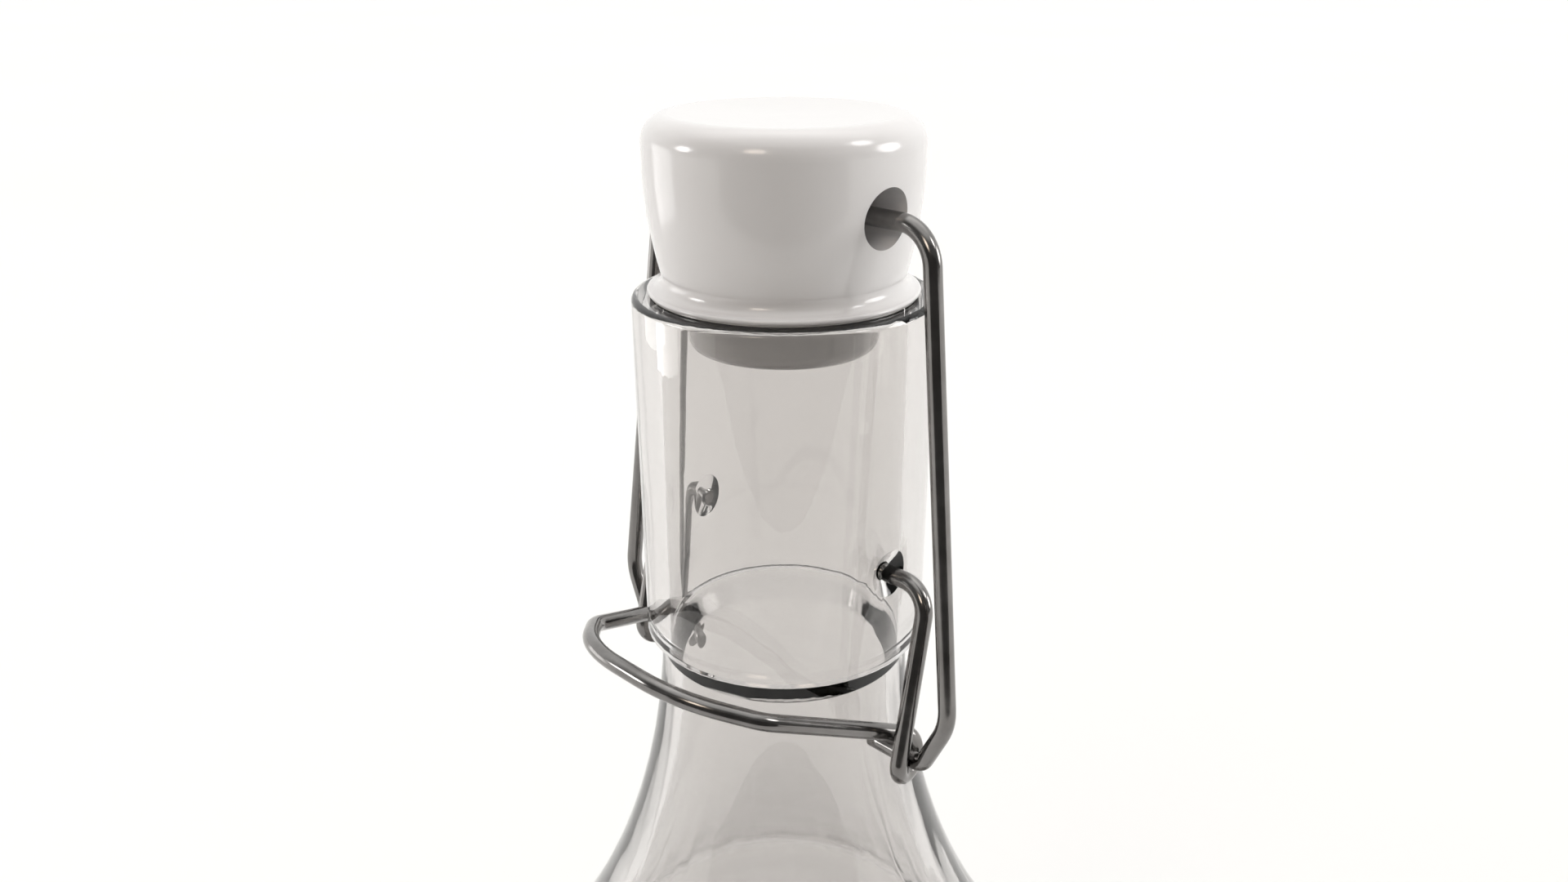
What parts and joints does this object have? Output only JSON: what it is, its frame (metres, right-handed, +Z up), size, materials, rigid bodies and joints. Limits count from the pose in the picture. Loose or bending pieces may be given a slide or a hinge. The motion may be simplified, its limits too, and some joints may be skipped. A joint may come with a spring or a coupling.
{
  "type": "swing top bottle",
  "caption": "Round glass bottle with a long flared neck, closed by a stopper and rubber gasket on a wire bail with a hinged locking lever.",
  "frame": {"origin": "centre of the bottle's base, on the surface it stands on", "axes": "+Z up along the bottle; X along the closure's hinges; -Y towards the lever's finger handle"},
  "size_m": [0.086, 0.086, 0.3076],
  "materials": {
    "clear_glass": "clear, fire polished",
    "white_glaze": "smooth white with a soft gloss",
    "grey_rubber": "smooth moulded rubber",
    "bail_steel": "drawn steel wire, bright",
    "lever_steel": "drawn steel wire, bright"
  },
  "bodies": {
    "bottle": {"glass_bottle": "clear_glass"},
    "lever": {"locking_lever": "lever_steel"},
    "bail": {"stopper_bail": "bail_steel"},
    "closure": {"stopper": "white_glaze", "gasket": "grey_rubber"}
  },
  "joints": [
    {"name": "lever_swing", "type": "hinge", "parent": "bottle", "child": "lever", "pos_m": [0, 0, 0.26355], "axis": [1, 0, 0], "range_deg": [-65, 0]},
    {"name": "bail_swing", "type": "hinge", "parent": "lever", "child": "bail", "pos_m": [0, -0.0019, 0.24505], "axis": [1, 0, 0], "range_deg": [0, 43.6]},
    {"name": "stopper_tilt", "type": "hinge", "parent": "bail", "child": "closure", "pos_m": [0, 0, 0.29925], "axis": [1, 0, 0], "range_deg": [0, 21.5]}
  ],
  "couplings": [
    {"joint": "bail_swing", "follows": "lever_swing", "ratio": -0.67},
    {"joint": "stopper_tilt", "follows": "lever_swing", "ratio": -0.33}
  ]
}
